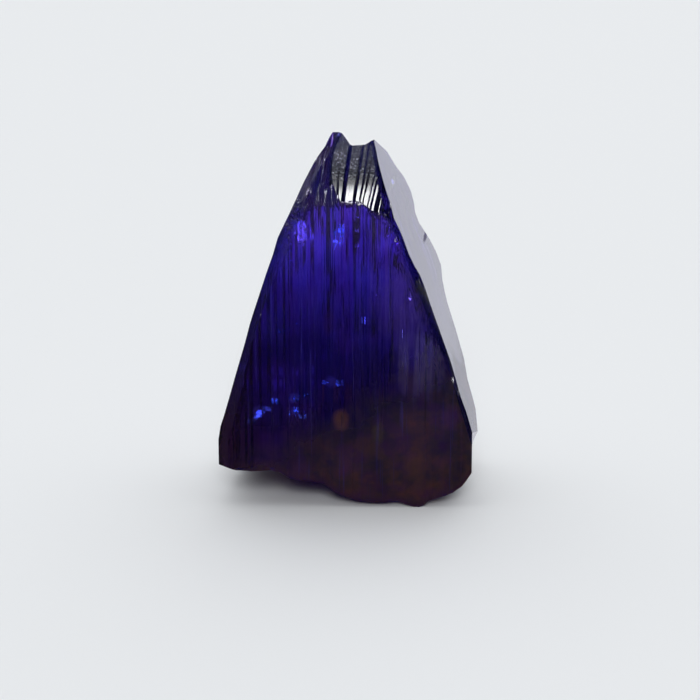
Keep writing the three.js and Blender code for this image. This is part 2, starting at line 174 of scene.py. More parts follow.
def fade(value, start, width):
    """0 at the start, 1 a width further on, straight in between; a negative width runs back."""
    return np.clip((value - start) / width, 0, 1)


def facets(a, b, purpose):
    """A broken surface: chance heights at whole places of a and b, and straight in between."""
    a0, b0 = np.floor(a), np.floor(b)
    corner = [[chance(a0 + i + 31 * (b0 + k), purpose) for i in (0, 1)] for k in (0, 1)]
    return mix(mix(*corner[0], a - a0), mix(*corner[1], a - a0), b - b0)


def rib_columns(start, end, purpose):
    """Valleys and crests of ribs side by side, each of a chance width and height: [u, height]."""
    columns, valley, k = [], start, 0
    while valley < end - RIB_WIDTH[0]:
        width = min(RIB_WIDTH[0] + RIB_WIDTH[1] * chance(k, purpose), end - valley)
        crest = valley + width * mix(*RIB_CREST, chance(k, purpose + 2))
        columns += [[valley, 0.0], [crest, RIB_HEIGHT[0] + RIB_HEIGHT[1] * chance(k, purpose + 1)]]
        valley, k = valley + width, k + 1
    return columns


under_recess = np.array(rib_columns(HORN_RIDGE, RECESS_END, 7) + [[RECESS_END, 0.0]])
flute_columns = [[u, np.interp(u, *under_recess.T)] for u, _ in FLUTES]
COLUMNS = np.array(rib_columns(LEFT_END, HORN_RIDGE - RIB_GAP, 1) + flute_columns
                   + rib_columns(RECESS_END + RECESS_GAP, RIGHT_END - RIB_GAP, 4)
                   + [[RIGHT_END, 0.0]])
U, RIB = COLUMNS.T
NUMBER = np.arange(len(U))
IN_RECESS = (U >= HORN_RIDGE) & (U <= RECESS_END)
Z_BASE = np.interp(U, *BASE_EDGE.T)
Z_LEDGE = np.interp(U, *LEDGE_EDGE.T)
X_RIM = np.interp(U, RIM[:, 0], RIM[:, 1])
Z_RIM = np.interp(U, RIM[:, 0], RIM[:, 2])
LEFT_EDGE = RIM[RIM[:, 1] <= HORN_TIP]
SIDE_EDGE = RIM[RIM[:, 0] > CREST][::-1]


def front_plane(z):
    """Depth of the front: all but upright, and leaning back above the horn's foot."""
    return -FRONT_DEPTH + FRONT_LEAN * z + HORN_LEAN * np.maximum(0, z - HORN_FOOT)


def recess_plane(z):
    """Depth of the recess: it leans back from the ledge, and more and more towards its top."""
    rise = z - RECESS_FOOT[0]
    return RECESS_FOOT[1] + RECESS_LEAN * rise + RECESS_CURL * rise * np.abs(rise)


def side_depth(x, z):
    """Depth of the flat cleavage face, from its plane, but never in front of the foot."""
    depth = (SIDE_NORMAL[0] * x + SIDE_NORMAL[2] * z - SIDE_OFFSET) / -SIDE_NORMAL[1]
    return np.maximum(depth, SIDE_FOOT_DEPTH)


def side_back_edge(z):
    """Where the cleavage face's back edge lies at a height: its x and y."""
    return [np.interp(z, SIDE_BACK_EDGE[:, 2], SIDE_BACK_EDGE[:, axis]) for axis in (0, 1)]


def front():
    """Ribbed front: up each column from base to ledge, then from the ledge's foot to the rim."""
    below = 1 - np.linspace(1, 0, ROWS_BELOW)[:, None] ** ROW_PACKING
    above = np.linspace(0, 1, ROWS_ABOVE)[:, None]
    foot = Z_LEDGE + np.where(IN_RECESS, -LEDGE_UNDERCUT, LEDGE_SEAM * (Z_RIM - Z_LEDGE))
    z = np.vstack([mix(Z_BASE, Z_LEDGE, below), mix(foot, Z_RIM, above)])
    upper = (np.arange(len(z)) >= ROWS_BELOW)[:, None]
    climb = np.clip((z - Z_LEDGE) / (Z_RIM - Z_LEDGE), 0, 1) * upper
    bulge = RIDGE_BULGE * np.clip(1 - np.abs(U - HORN_RIDGE) / RIDGE_WIDTH, 0, 1)
    x = mix(U, X_RIM, climb) - bulge * np.sin(np.pi * climb)
    swell = 1 - RIB_FADE + RIB_FADE * np.sin(RIB_PITCH * z + 7 * chance(NUMBER, 5))
    y = front_plane(z) - RIB * swell * np.interp(z, *RIB_LOW.T)
    fluted = recess_plane(z) + np.interp(U, *FLUTES.T)
    y = np.where(upper & IN_RECESS, np.maximum(y + RECESS_STEP, fluted), y)
    from_left = x - np.interp(z, LEFT_EDGE[:, 2], LEFT_EDGE[:, 1])
    bevel = np.clip(1 - from_left / np.interp(z, *BEVEL_WIDTH.T), 0, 1)
    y = mix(y, front_plane(z) + BEVEL_DEPTH * fade(z, HORN_TOP, -BEVEL_FADE), bevel)
    x_side = np.interp(z, SIDE_EDGE[:, 2], SIDE_EDGE[:, 1])
    width = np.where(upper & IN_RECESS, np.interp(z, *RECESS_EDGE_BLEND.T), EDGE_BLEND)
    blend = np.where(z > Z_RIM - 1e-6, 1, np.clip(1 - (x_side - x) / width, 0, 1))
    blend = np.where(upper & IN_RECESS, blend, blend ** 2) * (U > EDGE_START)
    y = mix(y, np.where(U > CREST, side_depth(x_side, z), CREST_DEPTH), blend)
    return np.stack([x, y, z], -1)


def back(rim_line):
    """Stepped, ribbed back: narrower than the front, and closing in on it towards the top."""
    rise = np.linspace(0, 1, ROWS_BELOW + ROWS_ABOVE)[:, None]
    x = BACK_WIDTH * mix(U, rim_line[:, 0], rise) + BACK_SHIFT
    climb = BACK_FOOT_RISE * np.maximum(0, BACK_FOOT_TURN - U)
    z_foot = BACK_FOOT[0] + BACK_FOOT[1] * chance(NUMBER, 12) + climb
    z = mix(z_foot, np.minimum(rim_line[:, 2] - BACK_DROP, BACK_TOP), rise)
    rib = (NUMBER % 2) * (BACK_RIB[0] + BACK_RIB[1] * chance(NUMBER, 13) ** 2)
    (left, left_width), (right, right_width) = TERRACE_SIDES
    terrace = BACK_TERRACE * fade(x, left, left_width) * fade(x, right, -right_width)
    y = np.interp(z, *BACK_PROFILE.T) - BACK_SPLAY * np.abs(x + 1) + rib - terrace
    x_edge, y_edge = side_back_edge(z)
    to_edge = np.clip((x - SHOULDER_START) / (x_edge - SHOULDER_WIDTH - SHOULDER_START), 0, 1)
    y = mix(y, np.maximum(y, y_edge - SHOULDER_DROP), to_edge)
    return np.stack([x, y, z], -1)


def rim(front_line, back_line):
    """Rim from front to back over a middle edge: flank on the left, crest, cleavage face."""
    x, y, z = front_line.T
    z_top = SIDE_BACK_EDGE[-1, 2]
    z_back = np.minimum(z + SIDE_EDGE_RISE - SIDE_EDGE_TILT * (z_top - z), z_top)
    side = np.stack([*side_back_edge(z_back), z_back], -1)
    crest = front_line + CREST_TURN
    taper = np.clip((HORN_TOP - z) / FLANK_TAPER[0], FLANK_TAPER[1], 1)
    chip = facets(z / FLANK_STEP, 0 * z, 21)
    right, behind = [(least + more * chip) * taper for least, more in FLANK_TURN]
    flank = np.stack([x + right, y + behind, z - FLANK_DROP], -1)
    turn = np.where((U >= CREST)[:, None], side, np.where((U >= FLANK_END)[:, None], crest, flank))
    share = np.linspace(0, 1, DEPTH_STEPS)[:, None]
    part = np.where(share < 0.5, share * 2, share * 2 - 1)
    near = share[..., None] < 0.5
    points = mix(np.where(near, front_line, turn), np.where(near, turn, back_line), part[..., None])
    broken = (U < FLANK_END) | ((U >= CREST) & (share > 0.5))
    chips = facets(points[..., 1] / CHIP_SIZE[0], points[..., 2] / CHIP_SIZE[1], 22)
    rough = chips * np.sin(np.pi * part)
    points[..., 0] -= np.sign(points[..., 0]) * FLANK_CHIPS * rough * broken
    return points


def base(front_line, back_line):
    """Hackly base: it falls from the front to the flat spot and climbs again to the back."""
    share = np.linspace(0, 1, DEPTH_STEPS)[:, None]
    x = mix(front_line[:, 0], back_line[:, 0], share)
    y = mix(front_line[:, 1], back_line[:, 1], share)
    lumps = BASE_LUMPS * (facets((x + y) / LUMP_SIZE[0], (y - x) / LUMP_SIZE[1], 23) - 0.5)
    from_front = front_line[:, 2] - BASE_SLOPE * (y - front_line[:, 1])
    from_back = back_line[:, 2] - BACK_FOOT_SLOPE * (back_line[:, 1] - y)
    z = np.maximum(np.maximum(from_front, from_back), -BASE_SINK) + lumps * np.sin(np.pi * share)
    z[0], z[-1] = front_line[:, 2], back_line[:, 2]
    return np.stack([x, y, z], -1)


def end(front_side, back_side, base_side, rim_side):
    """One narrow end, filled between its four border lines as a Coons patch."""
    share = np.linspace(0, 1, len(base_side))[None, :, None]
    rise = np.linspace(0, 1, len(front_side))[:, None, None]
    across = mix(front_side[:, None], back_side[:, None], share)
    up = mix(base_side[None], rim_side[None], rise)
    low, high = [mix(front_side[row], back_side[row], share) for row in (0, -1)]
    return across + up - mix(low, high, rise)


def spread(points):
    """Splits every strip between two columns into fine ones, in straight lines."""
    return mix(points[:, left_knot], points[:, left_knot + 1], knot_share[:, None])


steps = np.maximum(1, np.ceil(np.diff(U) / FINE_COLUMN).astype(int))
left_knot = np.append(np.repeat(NUMBER[:-1], steps), len(U) - 2)
first_fine = np.append(0, np.cumsum(steps))
knot_share = (np.arange(len(left_knot)) - first_fine[left_knot]) / steps[left_knot]
knot_share[-1] = 1.0

front_coarse = front()
back_coarse = back(front_coarse[-1])
rim_coarse = rim(front_coarse[-1], back_coarse[-1])
base_coarse = base(front_coarse[0], back_coarse[0])

# ---- crystal: fine striations and crumbs ----------------------------------------------------
# Between the ribs run hundreds of hair-fine growth lines, and where the crystal is broken its
# surface is hackly: on the upper recess, along the ledge, on the worn edges and on the base.

LINE_DEPTH = 0.035                     # deepest growth line
LINE_SHARE = 0.3                       # share of the columns that hold one
LINE_SPREAD = [0.15, 0.85]             # least share of that depth, and what chance adds
LINE_FOOT = [-6, 20]                   # heights between which a line may have faded out
LINE_FADE = [9, 0.12]                  # over how much height it fades, and to what share
RECESS_LINES = 0.9                     # share of the lines' depth in the recess
CRUMB_DEPTH = 0.14
CRUMB_SIZE = 0.32
CRUMB_STEP = 0.4                       # size of the finer crumbs, as a share of the others'
CRUMB_SHARES = [0.55, 0.45]            # how much the coarse and the finer crumbs count
RECESS_CRUMBS = 0.5                    # share of the crumbs' depth in the recess
BASE_PITS = [0.9, 0.6, 0.35]           # depth and size of the base's pits, and how few they are

# Where the skin is hackly. Each pair says where it starts, and over what width it comes in.
RECESS_GRAIN = [25.4, 2]               # height
RIDGE_SLOPE = 0.3                      # the ridge's inner slope belongs to the recess
WORN_EDGE = [1.5, -0.7]                # distance from the left edge
WORN_EDGE_FOOT = [19.5, 1.5]
WORN_EDGE_TOP = [25.2, -1.2]
WORN_EDGE_END = -2.2                   # the last column of the worn left edge
LEDGE_BAND = [0.25, 0.75]              # half width of the ledge's hackly band, least and chance
LEDGE_FACET = 0.33
LEDGE_START = -4.6
LEDGE_GRAIN = np.array([               # how hackly it is along the ledge: [u, share]
    [-4.6, 0.4], [-2.4, 0.3], [-1.9, 0.15], [-0.6, 0.15], [1.0, 0.5], [2.0, 1], [4.4, 1], [4.8, 0]])
SIDE_CRUMBS = [0.9, -0.4]              # distance from the right edge
SIDE_CRUMBS_FOOT = [18.5, 1]
SIDE_CRUMB_SIZE = [0.4, 0.6]
SIDE_CRUMB_LEAST = 0.35                # facets lower than this hold none
SIDE_GRAIN = 0.8
HORN_FOOT_SPOT = [-2.3, 25.1, 1.7, 1.4]    # etched foot of the horn: its x and z, and radii
HORN_FOOT_EDGE = 1.3
HORN_FOOT_GRAIN = 0.22

fine_u = mix(U[left_knot], U[left_knot + 1], knot_share)
fine_number = np.arange(len(fine_u))


def growth_lines(z, purpose, depth):
    """Depth of hair-fine lines: every other column may hold one, which fades out downwards."""
    held = (fine_number % 2) * (chance(fine_number, purpose) < 2 * LINE_SHARE)
    deep = LINE_SPREAD[0] + LINE_SPREAD[1] * chance(fine_number, purpose + 1) ** 2
    fades_at = mix(*LINE_FOOT, chance(fine_number, purpose + 2))
    return depth * held * deep * np.clip((z - fades_at) / LINE_FADE[0], LINE_FADE[1], 1)


def crumbs(a, b, size, purpose):
    """Hackly relief from 0 to 1: facets of one size, and finer ones on top."""
    fine = facets(a / size / CRUMB_STEP, b / size / CRUMB_STEP, purpose + 1)
    return CRUMB_SHARES[0] * facets(a / size, b / size, purpose) + CRUMB_SHARES[1] * fine


front_grid = spread(front_coarse)
back_grid = spread(back_coarse)
front_x, front_z = front_grid[..., 0], front_grid[..., 2]
above_ledge = (np.arange(len(front_grid)) >= ROWS_BELOW)[:, None]
beyond_ridge = above_ledge & (fine_u > HORN_RIDGE - RIDGE_SLOPE)
in_recess = beyond_ridge & (fine_u < RECESS_END)
from_left = front_x - np.interp(front_z, LEFT_EDGE[:, 2], LEFT_EDGE[:, 1])
from_right = np.interp(front_z, SIDE_EDGE[:, 2], SIDE_EDGE[:, 1]) - front_x
fine_ledge = np.interp(fine_u, *LEDGE_EDGE.T)

worn_edge = (fade(from_left, *WORN_EDGE) * fade(front_z, *WORN_EDGE_FOOT)
             * fade(front_z, *WORN_EDGE_TOP) * (fine_u < WORN_EDGE_END))
ledge_band = LEDGE_BAND[0] + LEDGE_BAND[1] * facets(fine_u / LEDGE_FACET, 0 * fine_u, 51)
near_ledge = (np.clip(1 - np.abs(front_z - fine_ledge) / ledge_band, 0, 1)
              * np.interp(fine_u, *LEDGE_GRAIN.T) * (fine_u > LEDGE_START))
hackly = np.where(in_recess, fade(front_z, *RECESS_GRAIN), np.maximum(worn_edge, near_ledge))
side_facets = facets(front_x / SIDE_CRUMB_SIZE[0], front_z / SIDE_CRUMB_SIZE[1], 52)
side_crumbs = (fade(from_right, *SIDE_CRUMBS) * fade(front_z, *SIDE_CRUMBS_FOOT)
               * (front_z < fine_ledge) * (side_facets > SIDE_CRUMB_LEAST))
hackly = np.maximum(hackly, SIDE_GRAIN * side_crumbs)
spot_x, spot_z, radius_x, radius_z = HORN_FOOT_SPOT
from_spot = np.hypot((front_x - spot_x) / radius_x, (front_z - spot_z) / radius_z)
horn_foot = np.clip(HORN_FOOT_EDGE - from_spot, 0, 1) * ~in_recess
hackly = np.maximum(hackly, HORN_FOOT_GRAIN * horn_foot)

front_lines = growth_lines(front_z, 31, LINE_DEPTH) * np.where(in_recess, RECESS_LINES, 1)
front_crumbs = crumbs(front_x, front_z, CRUMB_SIZE, 41) * np.where(in_recess, RECESS_CRUMBS, 1)
front_grid[..., 1] += front_lines + CRUMB_DEPTH * hackly * front_crumbs
rim_grid = spread(rim_coarse)
base_grid = spread(base_coarse)
pit_depth, pit_size, pit_least = BASE_PITS
pits = np.maximum(crumbs(base_grid[..., 0], base_grid[..., 1], pit_size, 44) - pit_least, 0)
base_grid[..., 2] = np.maximum(base_grid[..., 2], 0) + pit_depth * pits
rim_grid[0], rim_grid[-1] = front_grid[-1], back_grid[-1]
base_grid[0], base_grid[-1] = front_grid[0], back_grid[0]
left_grid = end(front_grid[:, 0], back_grid[:, 0], base_grid[:, 0], rim_grid[:, 0])
right_grid = end(front_grid[:, -1], back_grid[:, -1], base_grid[:, -1], rim_grid[:, -1])


def quads(grid, first, outward):
    """Corner numbers of every cell of a grid of points, in the order that faces outwards."""
    rows, columns = grid.shape[:2]
    at = first + np.arange(rows * columns).reshape(rows, columns)
    corners = [at[:-1, :-1], at[:-1, 1:], at[1:, 1:], at[1:, :-1]]
    return np.stack([c.ravel() for c in (corners if outward else corners[::-1])], -1)


grids = [(front_grid, True), (back_grid, False), (rim_grid, True), (base_grid, False),
         (left_grid, False), (right_grid, True)]
firsts = np.cumsum([0] + [grid.shape[0] * grid.shape[1] for grid, _ in grids])
points = np.vstack([grid.reshape(-1, 3) for grid, _ in grids])
cells = np.vstack([quads(grid, first, out) for (grid, out), first in zip(grids, firsts)])
cell_counts = [(grid.shape[0] - 1) * (grid.shape[1] - 1) for grid, _ in grids]

# What the points hold for the gem's material, from 0 to 1 on each grid in the order above.
# dull: broken and rough. dark: slate, on the recess and the worn left edge. grain: gritty.
# crust: brown, on the base and at the foot of the back.
HACKLY_DULL = 0.2
RIM_DULL = 0.5                         # on the flank and the crest
CHIPPED_DULL = 0.6                     # on the side's chipped back edge and the base
HACKLY_SLATE = 0.4
BEVEL_SLATE = [1.3, 0.8]               # how many widths of the bevel it reaches, and its share
WORN_SLATE = [24, -3]                  # height at which the slate of the left edge fades out
SIDE_SLATE = 0.35
CRUST_HEIGHT = [1.3, 0.5]              # how far it climbs the front, in fades of this height
CRUST_BACK = [4.5, -3]
behind_middle = np.linspace(0, 1, DEPTH_STEPS)[:, None] > 0.5
rim_dull = np.where(fine_u < CREST, RIM_DULL, CHIPPED_DULL * behind_middle)
on_bevel = np.clip(BEVEL_SLATE[0] - from_left / np.interp(front_z, *BEVEL_WIDTH.T), 0, 1)
worn_slate = BEVEL_SLATE[1] * (on_bevel * fade(front_z, *WORN_SLATE))
front_slate = np.maximum(HACKLY_SLATE * hackly, worn_slate)
above_foot = front_z - np.interp(fine_u, *BASE_EDGE.T)
HELD = {
    "dull": [HACKLY_DULL * hackly, 0, rim_dull, CHIPPED_DULL, 0, 0],
    "dark": [np.where(beyond_ridge, 1.0, front_slate), 0,
             SIDE_SLATE * ~behind_middle * (fine_u > CREST), 0, 0, 0],
    "grain": [hackly, 0, 0, 0, 0, 0],
    "crust": [np.clip(CRUST_HEIGHT[0] - above_foot / CRUST_HEIGHT[1], 0, 1),
              fade(back_grid[..., 2], *CRUST_BACK), 0, 1, 0, 0],
}

# Shared border points become one, so that the skin is closed.
_, kept, merged = np.unique(np.round(points, 5), axis=0, return_index=True, return_inverse=True)
points = points[kept]
triangles = merged.ravel()[np.vstack([cells[:, [0, 1, 2]], cells[:, [0, 2, 3]]])]
alive = ((triangles[:, 0] != triangles[:, 1]) & (triangles[:, 1] != triangles[:, 2])
         & (triangles[:, 2] != triangles[:, 0]))
triangles = triangles[alive]
# The cleavage face shines as one flat face, although its back edge is chipped.
SHARP_ANGLE = math.radians(20)
level = np.zeros((DEPTH_STEPS - 1, len(fine_u) - 1), bool)
level[:DEPTH_STEPS // 2 - 1, fine_u[:-1] > CREST] = True
level_cells = np.concatenate([np.zeros(sum(cell_counts[:2]), bool), level.ravel(),
                              np.zeros(sum(cell_counts[3:]), bool)])
level_triangles = np.tile(level_cells, 2)[alive]
points[:, 2] = np.maximum(points[:, 2], 0)

MM = 0.001
mesh = bpy.data.meshes.new("tanzanite_crystal")
mesh.from_pydata(points * MM, [], triangles)
mesh.update()
mesh.shade_smooth()
mesh.set_sharp_from_angle(angle=SHARP_ANGLE)
corner_normals = np.zeros((len(mesh.loops), 3), np.float32)
mesh.corner_normals.foreach_get("vector", corner_normals.ravel())
corner_normals[np.repeat(level_triangles, 3)] = SIDE_NORMAL
mesh.normals_split_custom_set(corner_normals)
for name, values in HELD.items():
    spread_out = [np.broadcast_to(value, grid.shape[:2]) for value, (grid, _) in zip(values, grids)]
    held = np.concatenate([part.ravel() for part in spread_out])[kept].astype(np.float32)
    mesh.attributes.new(name, "FLOAT", "POINT").data.foreach_set("value", held)
crystal = bpy.data.objects.new("tanzanite_crystal", mesh)
bpy.context.scene.collection.objects.link(crystal)
print("crystal:", len(points), "points,", len(triangles), "triangles")

# ---- crystal: clear violet-blue gem --------------------------------------------------------
# Tanzanite is a clear gem that drinks red and green light. Its growth bands differ a little in
# colour, its lower part is cloudy and mottled with brown, and its broken places are dull.

gem = bpy.data.materials.new("violet_blue_tanzanite")
gem.use_nodes = True
nodes, links = gem.node_tree.nodes, gem.node_tree.links
skin = nodes["Principled BSDF"]
skin.inputs["IOR"].default_value = 1.69        # tanzanite's own
skin.inputs["Transmission Weight"].default_value = 0.94
depth = nodes.new("ShaderNodeVolumeAbsorption")
depth.inputs["Color"].default_value = (0.26, 0.02, 0.89, 1)
depth.inputs["Density"].default_value = 330
links.new(depth.outputs["Volume"], nodes["Material Output"].inputs["Volume"])
place = nodes.new("ShaderNodeTexCoord")


def feed(value, socket):
    """Links an output to a socket, or sets the socket to a number or a colour."""
    if isinstance(value, bpy.types.NodeSocket):
        links.new(value, socket)
    else:
        socket.default_value = (*value, 1) if isinstance(value, tuple) else value


def noise(scale, detail, stretch=(1, 1, 1)):
    """Cloudy values about 0.5, drawn out along an axis whose stretch factor is small."""
    drawn_out = nodes.new("ShaderNodeVectorMath")
    drawn_out.operation = "MULTIPLY"
    drawn_out.inputs[1].default_value = stretch
    links.new(place.outputs["Object"], drawn_out.inputs[0])
    cloud = nodes.new("ShaderNodeTexNoise")
    cloud.inputs["Scale"].default_value = scale
    cloud.inputs["Detail"].default_value = detail
    links.new(drawn_out.outputs["Vector"], cloud.inputs["Vector"])
    return cloud.outputs["Fac"]


def remap(value, start, end, low=0.0, high=1.0):
    """Brings a value from one range to another, in a straight line, and holds it at the ends."""
    ranged = nodes.new("ShaderNodeMapRange")
    for name, number in (("From Min", start), ("From Max", end), ("To Min", low), ("To Max", high)):
        ranged.inputs[name].default_value = number
    links.new(value, ranged.inputs["Value"])
    return ranged.outputs["Result"]


def scaled_sum(a, factor, b):
    """a times a factor, plus b."""
    total = nodes.new("ShaderNodeMath")
    total.operation = "MULTIPLY_ADD"
    for value, socket in zip((a, factor, b), total.inputs):
        feed(value, socket)
    return total.outputs["Value"]


def blended(share, a, b, kind="MIX"):
    """Colour a where the share is 0 and b, or a times b, where it is 1."""
    both = nodes.new("ShaderNodeMix")
    both.data_type = "RGBA"
    both.blend_type = kind
    for value, name in ((share, "Factor"), (a, "A"), (b, "B")):
        feed(value, both.inputs[name])
    return both.outputs["Result"]


def ramp_of(value, stops):
    """The colour at a value between 0 and 1 on a ramp of stops."""
    ramp = nodes.new("ShaderNodeValToRGB")
    links.new(value, ramp.inputs["Fac"])
    elements = ramp.color_ramp.elements
    for at, colour in stops[1:-1]:
        elements.new(at).color = (*colour, 1)
    elements[0].color, elements[-1].color = (*stops[0][1], 1), (*stops[-1][1], 1)
    return ramp.outputs["Color"]


def share_of(name):
    """The share from 0 to 1 that the skin's points hold under a name."""
    held = nodes.new("ShaderNodeAttribute")
    held.attribute_name = name
    return held.outputs["Fac"]


def spot(x, z, radius, stretch):
    """A soft ragged spot on the front, from 1 in its middle to 0; a stretch under 1 is upright."""
    apart = nodes.new("ShaderNodeVectorMath")
    apart.operation = "DISTANCE"
    apart.inputs[1].default_value = (x * MM, 0, z * MM * stretch)
    flat_place = nodes.new("ShaderNodeCombineXYZ")
    links.new(x_place, flat_place.inputs["X"])
    links.new(scaled_sum(z_place, stretch, 0.0), flat_place.inputs["Z"])
    links.new(flat_place.outputs["Vector"], apart.inputs[0])
    return remap(scaled_sum(noise(1500, 2), 0.5 * radius * MM, apart.outputs["Value"]),
                 1.25 * radius * MM, 0.7 * radius * MM)


split = nodes.new("ShaderNodeSeparateXYZ")
links.new(place.outputs["Object"], split.inputs["Vector"])
x_place, z_place = split.outputs["X"], split.outputs["Z"]
clouds = noise(260, 4)
cloudy_height = scaled_sum(clouds, 0.006, z_place)

# Violet-blue, deeper towards the base, with upright growth bands and purple clouds in it.
blue = ramp_of(remap(cloudy_height, 0.003, 0.029), [
    (0.0, (0.06, 0.045, 0.09)), (0.36, (0.07, 0.05, 0.1)), (0.5, (0.07, 0.05, 0.1)),
    (0.68, (0.2, 0.145, 0.44)), (0.8, (0.43, 0.32, 0.88)), (0.9, (0.56, 0.42, 1.0)),
    (1.0, (0.3, 0.24, 1.0))])
for size, tone in ((1400, (0.66, 0.72, 1.0)), (1000, (1.0, 0.66, 0.95))):
    band = remap(noise(size, 3, (1, 1, 0.05)), 0.4, 0.6)
    blue = blended(band, blended(1.0, blue, tone, "MULTIPLY"), blue)
blue = blended(remap(noise(330, 3), 0.52, 0.66, 0.0, 0.5), blue, (0.17, 0.06, 0.2))

# The lower right part is brown: mottled, redder and more orange in places, and warmer at the
# base and darker where it meets the blue.
earth = ramp_of(remap(noise(600, 4), 0.3, 0.7), [
    (0.0, (0.13, 0.1, 0.06)), (0.35, (0.2, 0.16, 0.05)), (0.55, (0.27, 0.18, 0.05)),
    (0.75, (0.36, 0.21, 0.05)), (1.0, (0.52, 0.26, 0.05))])
earth = blended(remap(noise(380, 2), 0.5, 0.62, 0.0, 0.6), earth, (0.33, 0.13, 0.12))
earth = blended(remap(noise(820, 2), 0.52, 0.64, 0.0, 0.45), earth, (0.5, 0.27, 0.05))
slanted = scaled_sum(x_place, -0.45, cloudy_height)
low_part = remap(slanted, 0.0122, 0.0098)
for near, tone in ((remap(z_place, 0.004, 0.001), (1.6, 1.15, 0.75)),
                   (remap(slanted, 0.0065, 0.0095), (0.5, 0.6, 0.8))):
    earth = blended(near, earth, blended(1.0, earth, tone, "MULTIPLY"))
colour = blended(low_part, blue, earth)

# Spots and veils inside it, and painted blue glow around the lower cracks' flashes: [x, z, radius,
# stretch, share, colour].
STAINS_AND_GLOWS = [
    [-0.45, 7.15, 0.8, 0.8, 0.7, (0.8, 0.38, 0.03)],
    [5.2, 3.4, 1.1, 0.7, 0.6, (0.75, 0.36, 0.04)],
    [2.4, 6.0, 0.6, 0.6, 0.6, (0.45, 0.38, 0.04)],
    [8.0, 7.4, 0.8, 0.7, 0.6, (0.4, 0.15, 0.2)],
    [-1.4, 15.2, 0.5, 0.3, 0.6, (0.14, 0.06, 0.05)],
    [4.4, 16.8, 2.5, 0.6, 0.75, (0.36, 0.26, 0.33)],
    # The next five are painted glow: blue that lightens the front where the cracks behind it flash.
    [-6.8, 7.8, 0.55, 1.0, 0.6, (0.25, 0.22, 0.8)],
    [-5.6, 8.75, 0.3, 1.0, 0.6, (0.25, 0.22, 0.8)],
    [-4.1, 8.9, 0.5, 1.0, 0.6, (0.25, 0.22, 0.8)],
    [-4.0, 7.9, 0.4, 1.0, 0.6, (0.25, 0.22, 0.8)],
    [-1.2, 10.2, 0.6, 1.0, 0.5, (0.22, 0.18, 0.7)]]
for x, z, radius, stretch, share, paint in STAINS_AND_GLOWS:
    colour = blended(scaled_sum(spot(x, z, radius, stretch), share, 0.0), colour, paint)
STREAKED_VEIL = [5.6, 11.8, 2.6, 0.8]  # x, z, radius and stretch, and so for the glow and the pit below
veil = remap(noise(2200, 2, (1, 1, 0.06)), 0.42, 0.6, 0.15, 1.0)
colour = blended(scaled_sum(spot(*STREAKED_VEIL), veil, 0.0), colour, (0.4, 0.38, 0.3))
hairs = remap(noise(5200, 1, (1, 1, 0.02)), 0.64, 0.74, 0.0, 0.3)
colour = blended(hairs, colour, (0.5, 0.45, 0.9))

# Its skin: brown crust, slate where it is dark, a painted pale highlight where the side face's
# crack flashes, brown left edge.
SIDE_FLASH_GLOW = [3.46, 24.9, 0.3, 1.0]
colour = blended(share_of("crust"), colour, (0.34, 0.15, 0.05))
slate = blended(share_of("grain"), (0.05, 0.05, 0.1), (0.1, 0.12, 0.5))
colour = blended(share_of("dark"), colour, slate)
# A painted pale highlight: pale colour on the side face where its crack flashes.
colour = blended(spot(*SIDE_FLASH_GLOW), colour, (0.9, 0.9, 1.0))
colour = blended(remap(x_place, -0.0062, -0.0094, 0.0, 0.95), colour, (0.13, 0.06, 0.03))
feed(colour, skin.inputs["Base Color"])

# Clear and smooth, but softer below, where it is broken and at a pit; sharp in the recess.
ROUGH_PIT = [6.12, 19.45, 0.25, 1.0]
CLEAR_ROUGHNESS = 0.1
LOW_ROUGHNESS = 0.18                   # what each of these adds to it
PIT_ROUGHNESS = 0.5
DULL_ROUGHNESS = 0.31
DARK_ROUGHNESS = -0.05
wear = scaled_sum(spot(*ROUGH_PIT), PIT_ROUGHNESS,
                  scaled_sum(low_part, LOW_ROUGHNESS, CLEAR_ROUGHNESS))
wear = scaled_sum(share_of("dull"), DULL_ROUGHNESS, wear)
feed(scaled_sum(share_of("dark"), DARK_ROUGHNESS, wear), skin.inputs["Roughness"])

gritty = nodes.new("ShaderNodeBump")
gritty.inputs["Distance"].default_value = 0.00006
feed(share_of("grain"), gritty.inputs["Strength"])
feed(noise(6500, 1, (1, 1, 0.8)), gritty.inputs["Height"])
links.new(gritty.outputs["Normal"], skin.inputs["Normal"])
mesh.materials.append(gem)

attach(crystal, "root")
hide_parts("crystal")

# ---- inner cracks: tiny mirrors that flash blue and violet ----------------------------------
# A little behind the front lie small healed cracks. Each is a patch of tiny flat mirrors, in
# millimetres, that tilt up towards the light in front of the crystal.

CRACK_DEPTH = -4.2                     # depth at which the cracks lie
CRACK_TILT = math.radians(15.4)
CRACK_THICKNESS = 0.02
CRACK_LAYER = 0.3                      # the mirrors lie within this depth of each other
TILT_SPREAD = math.radians(3)
TURN_SPREAD = math.radians(11)
MIRROR_SIZE = [0.6, 0.8]               # least share of its stroke's size, and what chance adds
